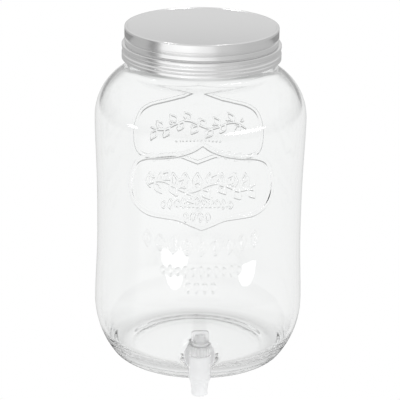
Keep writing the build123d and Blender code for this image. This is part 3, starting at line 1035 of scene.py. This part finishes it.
def ramp_of(tree, pattern, stops):
    """A colour ramp of grey levels, as a list of (place, level)."""
    ramp = tree.nodes.new("ShaderNodeValToRGB")
    ramp.color_ramp.interpolation = "EASE"
    while len(ramp.color_ramp.elements) < len(stops):
        ramp.color_ramp.elements.new(0.5)
    for element, (place, level) in zip(ramp.color_ramp.elements, stops):
        element.position = place
        element.color = (level, level, level, 1)
    tree.links.new(pattern, ramp.inputs["Fac"])
    return ramp.outputs["Color"]


def choose(tree, test, plain, other):
    """The plain colour, or the other one where the test is 1."""
    mix = tree.nodes.new("ShaderNodeMix")
    mix.data_type = "RGBA"
    tree.links.new(test, mix.inputs["Factor"])
    for socket, color in (("A_Color", plain), ("B_Color", other)):
        target = next(i for i in mix.inputs if i.identifier == socket)
        if isinstance(color, float):
            target.default_value = (color, color, color, 1)
        else:
            tree.links.new(color, target)
    return next(o for o in mix.outputs if o.identifier == "Result_Color")


# %% Floor disc
FLOOR_R = 20.0
FLOOR_GAP = 0.0005
floor_bm = bmesh.new()
bmesh.ops.create_circle(floor_bm, cap_ends=True, radius=FLOOR_R, segments=96)
floor_mesh = bpy.data.meshes.new("studio_floor")
floor_bm.to_mesh(floor_mesh)
floor_bm.free()
floor_mesh.transform(Matrix.Translation((0, 0, -FLOOR_GAP)))
floor = bpy.data.objects.new("studio_floor", floor_mesh)
bpy.context.scene.collection.objects.link(floor)
print(f"floor: {FLOOR_R} m in radius, {FLOOR_GAP * 1000} mm below the jar")

# %% Distance from the jar, for the floor's levels
floor_material = bpy.data.materials.new("studio_floor")
floor_material.use_nodes = True
tree = floor_material.node_tree
tree.nodes.remove(tree.nodes["Principled BSDF"])
place = tree.nodes.new("ShaderNodeTexCoord")
radius = tree.nodes.new("ShaderNodeVectorMath")
radius.operation = "LENGTH"
tree.links.new(place.outputs["Object"], radius.inputs[0])
share = tree.nodes.new("ShaderNodeMapRange")
share.inputs["From Max"].default_value = SHEET_R
tree.links.new(radius.outputs["Value"], share.inputs["Value"])

# %% Levels that bent rays meet on the floor, by distance, with a painted shadow round the foot
SHEET = [
    (0.0, 0.92),
    # The dip from 74 to 86 mm out is a painted shadow under the heel, seen by bent rays only
    (0.0185, 0.90),
    (0.0200, 0.60),
    (0.0215, 0.90),
    (0.033, 0.95),
    (GLOW_R / SHEET_R, 0.95),
    (DIM_R / SHEET_R, 0.4),
    (1.0, 0.3),
]
sheet = ramp_of(tree, share.outputs["Result"], SHEET)

# %% Levels that mirrored rays meet on the floor: a painted reflection of a room by direction, and a painted shadow close to the base
turning = tree.nodes.new("ShaderNodeTexGradient")
turning.gradient_type = "RADIAL"
tree.links.new(place.outputs["Object"], turning.inputs["Vector"])
# Painted reflection of a room: bright for a window in front to the left, dark for the wall to its left,
# grey to the right and behind
MIRRORED = [
    (0.0, 0.55),
    (0.035, 0.32),
    (0.060, 0.45),
    (0.085, 1.15),
    (0.19, 1.25),
    (0.27, 1.05),
    (0.33, 0.72),
    (0.45, 0.60),
    (0.75, 0.55),
    (1.0, 0.55),
]
mirrored = ramp_of(tree, turning.outputs["Fac"], MIRRORED)
# Painted shadow: mirrored rays see the floor dark under the jar and in a ring just round its base
PAINTED_CONTACT_SHADOW = [(0.0, 0.12), (0.0215, 0.15), (0.028, 1.0)]
painted_contact_shadow = ramp_of(tree, share.outputs["Result"], PAINTED_CONTACT_SHADOW)
mirrored = choose(tree, painted_contact_shadow, 0.0, mirrored)

# %% Give each kind of ray its own floor
light_path = tree.nodes.new("ShaderNodeLightPath")
seen = choose(tree, light_path.outputs["Is Reflection Ray"], sheet, mirrored)
seen = choose(tree, light_path.outputs["Is Camera Ray"], seen, 1.0)
glow = tree.nodes.new("ShaderNodeEmission")
tree.links.new(seen, glow.inputs["Color"])
tree.links.new(glow.outputs["Emission"], tree.nodes["Material Output"].inputs["Surface"])
floor_mesh.materials.append(floor_material)
print(f"floor material: {len(tree.nodes)} nodes")

# %% Sky
world = bpy.data.worlds.new("studio")
bpy.context.scene.world = world
world.use_nodes = True
tree = world.node_tree
direction = tree.nodes.new("ShaderNodeTexCoord")
parts = tree.nodes.new("ShaderNodeSeparateXYZ")
tree.links.new(direction.outputs["Generated"], parts.inputs["Vector"])
BENT_SKY = [(0.0, 0.45), (0.12, 0.47), (0.24, 0.72), (0.34, 0.85), (1.0, 0.90)]
MIRRORED_SKY = [(0.0, 0.50), (0.12, 0.62), (0.30, 0.80), (1.0, 0.82)]
bent = ramp_of(tree, parts.outputs["Z"], BENT_SKY)
mirrored = ramp_of(tree, parts.outputs["Z"], MIRRORED_SKY)
light_path = tree.nodes.new("ShaderNodeLightPath")
seen = choose(tree, light_path.outputs["Is Reflection Ray"], bent, mirrored)
seen = choose(tree, light_path.outputs["Is Camera Ray"], seen, 1.0)
tree.links.new(seen, tree.nodes["Background"].inputs["Color"])
print(f"sky: {len(tree.nodes)} nodes")

# %% [markdown]
# ## Soft lights
# Glass looks wet and round when it mirrors a few soft shapes. Two small softboxes hang high above the
# jar. A wide one at its left and a wider one in front to its right stand for windows, and two narrow
# cards lie low in front for the foot. They are hidden from the camera and from rays that pass through
# the glass, so that only mirrored light shows them. The windows would burn streaks into the bright
# lid, so light linking keeps them off it, as a black flag on a stand does in a studio.


# %% Softboxes and cards
def soft_light(name, place, aim, wide, high, radiance):
    """An area light at a place in metres, aimed at a point, with a given brightness."""
    light = bpy.data.lights.new(name, "AREA")
    light.shape = "ELLIPSE"
    light.size = wide
    light.size_y = high
    light.energy = 4 * radiance * wide * high
    lamp = bpy.data.objects.new(name, light)
    bpy.context.scene.collection.objects.link(lamp)
    away = Vector(place) - Vector(aim)
    lamp.matrix_world = Matrix.Translation(place) @ away.to_track_quat("Z", "Y").to_matrix().to_4x4()
    lamp.visible_camera = False
    lamp.visible_transmission = False
    return lamp


# Each softbox has its direction round the jar from the back, its height angle and its size
MIDDLE = (0, 0, 0.2)
SOFTBOX_AWAY = 1.5
SOFTBOX_RADIANCE = 7.0
SOFTBOXES = [
    ("overhead_left", -46, 70, 0.24, 0.13),
    ("overhead_right", 32, 73, 0.24, 0.13),
    ("window_left", -104, 13, 0.34, 0.12),
    ("window_right", 133, 17, 1.30, 0.14),
]
flagged = bpy.data.collections.new("flagged")
flagged.objects.link(lid_piece)
flagged.collection_objects[0].light_linking.link_state = "EXCLUDE"
for name, around_deg, up_deg, wide, high in SOFTBOXES:
    around, up = math.radians(around_deg), math.radians(up_deg)
    level = math.cos(up)
    place = SOFTBOX_AWAY * Vector((math.sin(around) * level, math.cos(around) * level, math.sin(up)))
    softbox = soft_light(name, place, MIDDLE, wide, high, SOFTBOX_RADIANCE)
    if name.startswith("window"):
        softbox.light_linking.receiver_collection = flagged
CARD_AIM = (0, 0, 0.12)
CARD_RADIANCE = 3.0
soft_light("card_left", (-0.170, -0.365, 0.015), CARD_AIM, 0.19, 0.020, CARD_RADIANCE)
soft_light("card_right", (0.278, -0.253, 0.015), CARD_AIM, 0.13, 0.011, CARD_RADIANCE)
print(f"soft lights: {[lamp.name for lamp in bpy.data.lights]}")

# %% Camera
LENS = 179.5
AROUND_DEG = -1.4
DOWN_DEG = 19.27
ROLL_DEG = 0.907
ACROSS = 0.0007
DISTANCE = 1.860
HEIGHT = 0.807
camera_data = bpy.data.cameras.new("camera")
camera_data.lens = LENS
camera = bpy.data.objects.new("camera", camera_data)
bpy.context.scene.collection.objects.link(camera)
turn = Matrix.Rotation(math.radians(AROUND_DEG), 4, "Z")
tilt = Matrix.Rotation(math.radians(90 - DOWN_DEG), 4, "X")
roll = Matrix.Rotation(math.radians(ROLL_DEG), 4, "Z")
place = Matrix.Translation(turn @ Vector((ACROSS, -DISTANCE, HEIGHT)))
camera.matrix_world = place @ turn @ tilt @ roll
bpy.context.scene.camera = camera
print("camera at", [round(value, 3) for value in camera.matrix_world.translation])

# %% Light paths and picture tone
# The thick base mirrors light inside itself many times, and each turn counts as a bounce
BOUNCES = 64
scene = bpy.context.scene
scene.view_settings.view_transform = "Standard"
scene.cycles.max_bounces = BOUNCES
scene.cycles.transmission_bounces = BOUNCES
scene.cycles.glossy_bounces = BOUNCES
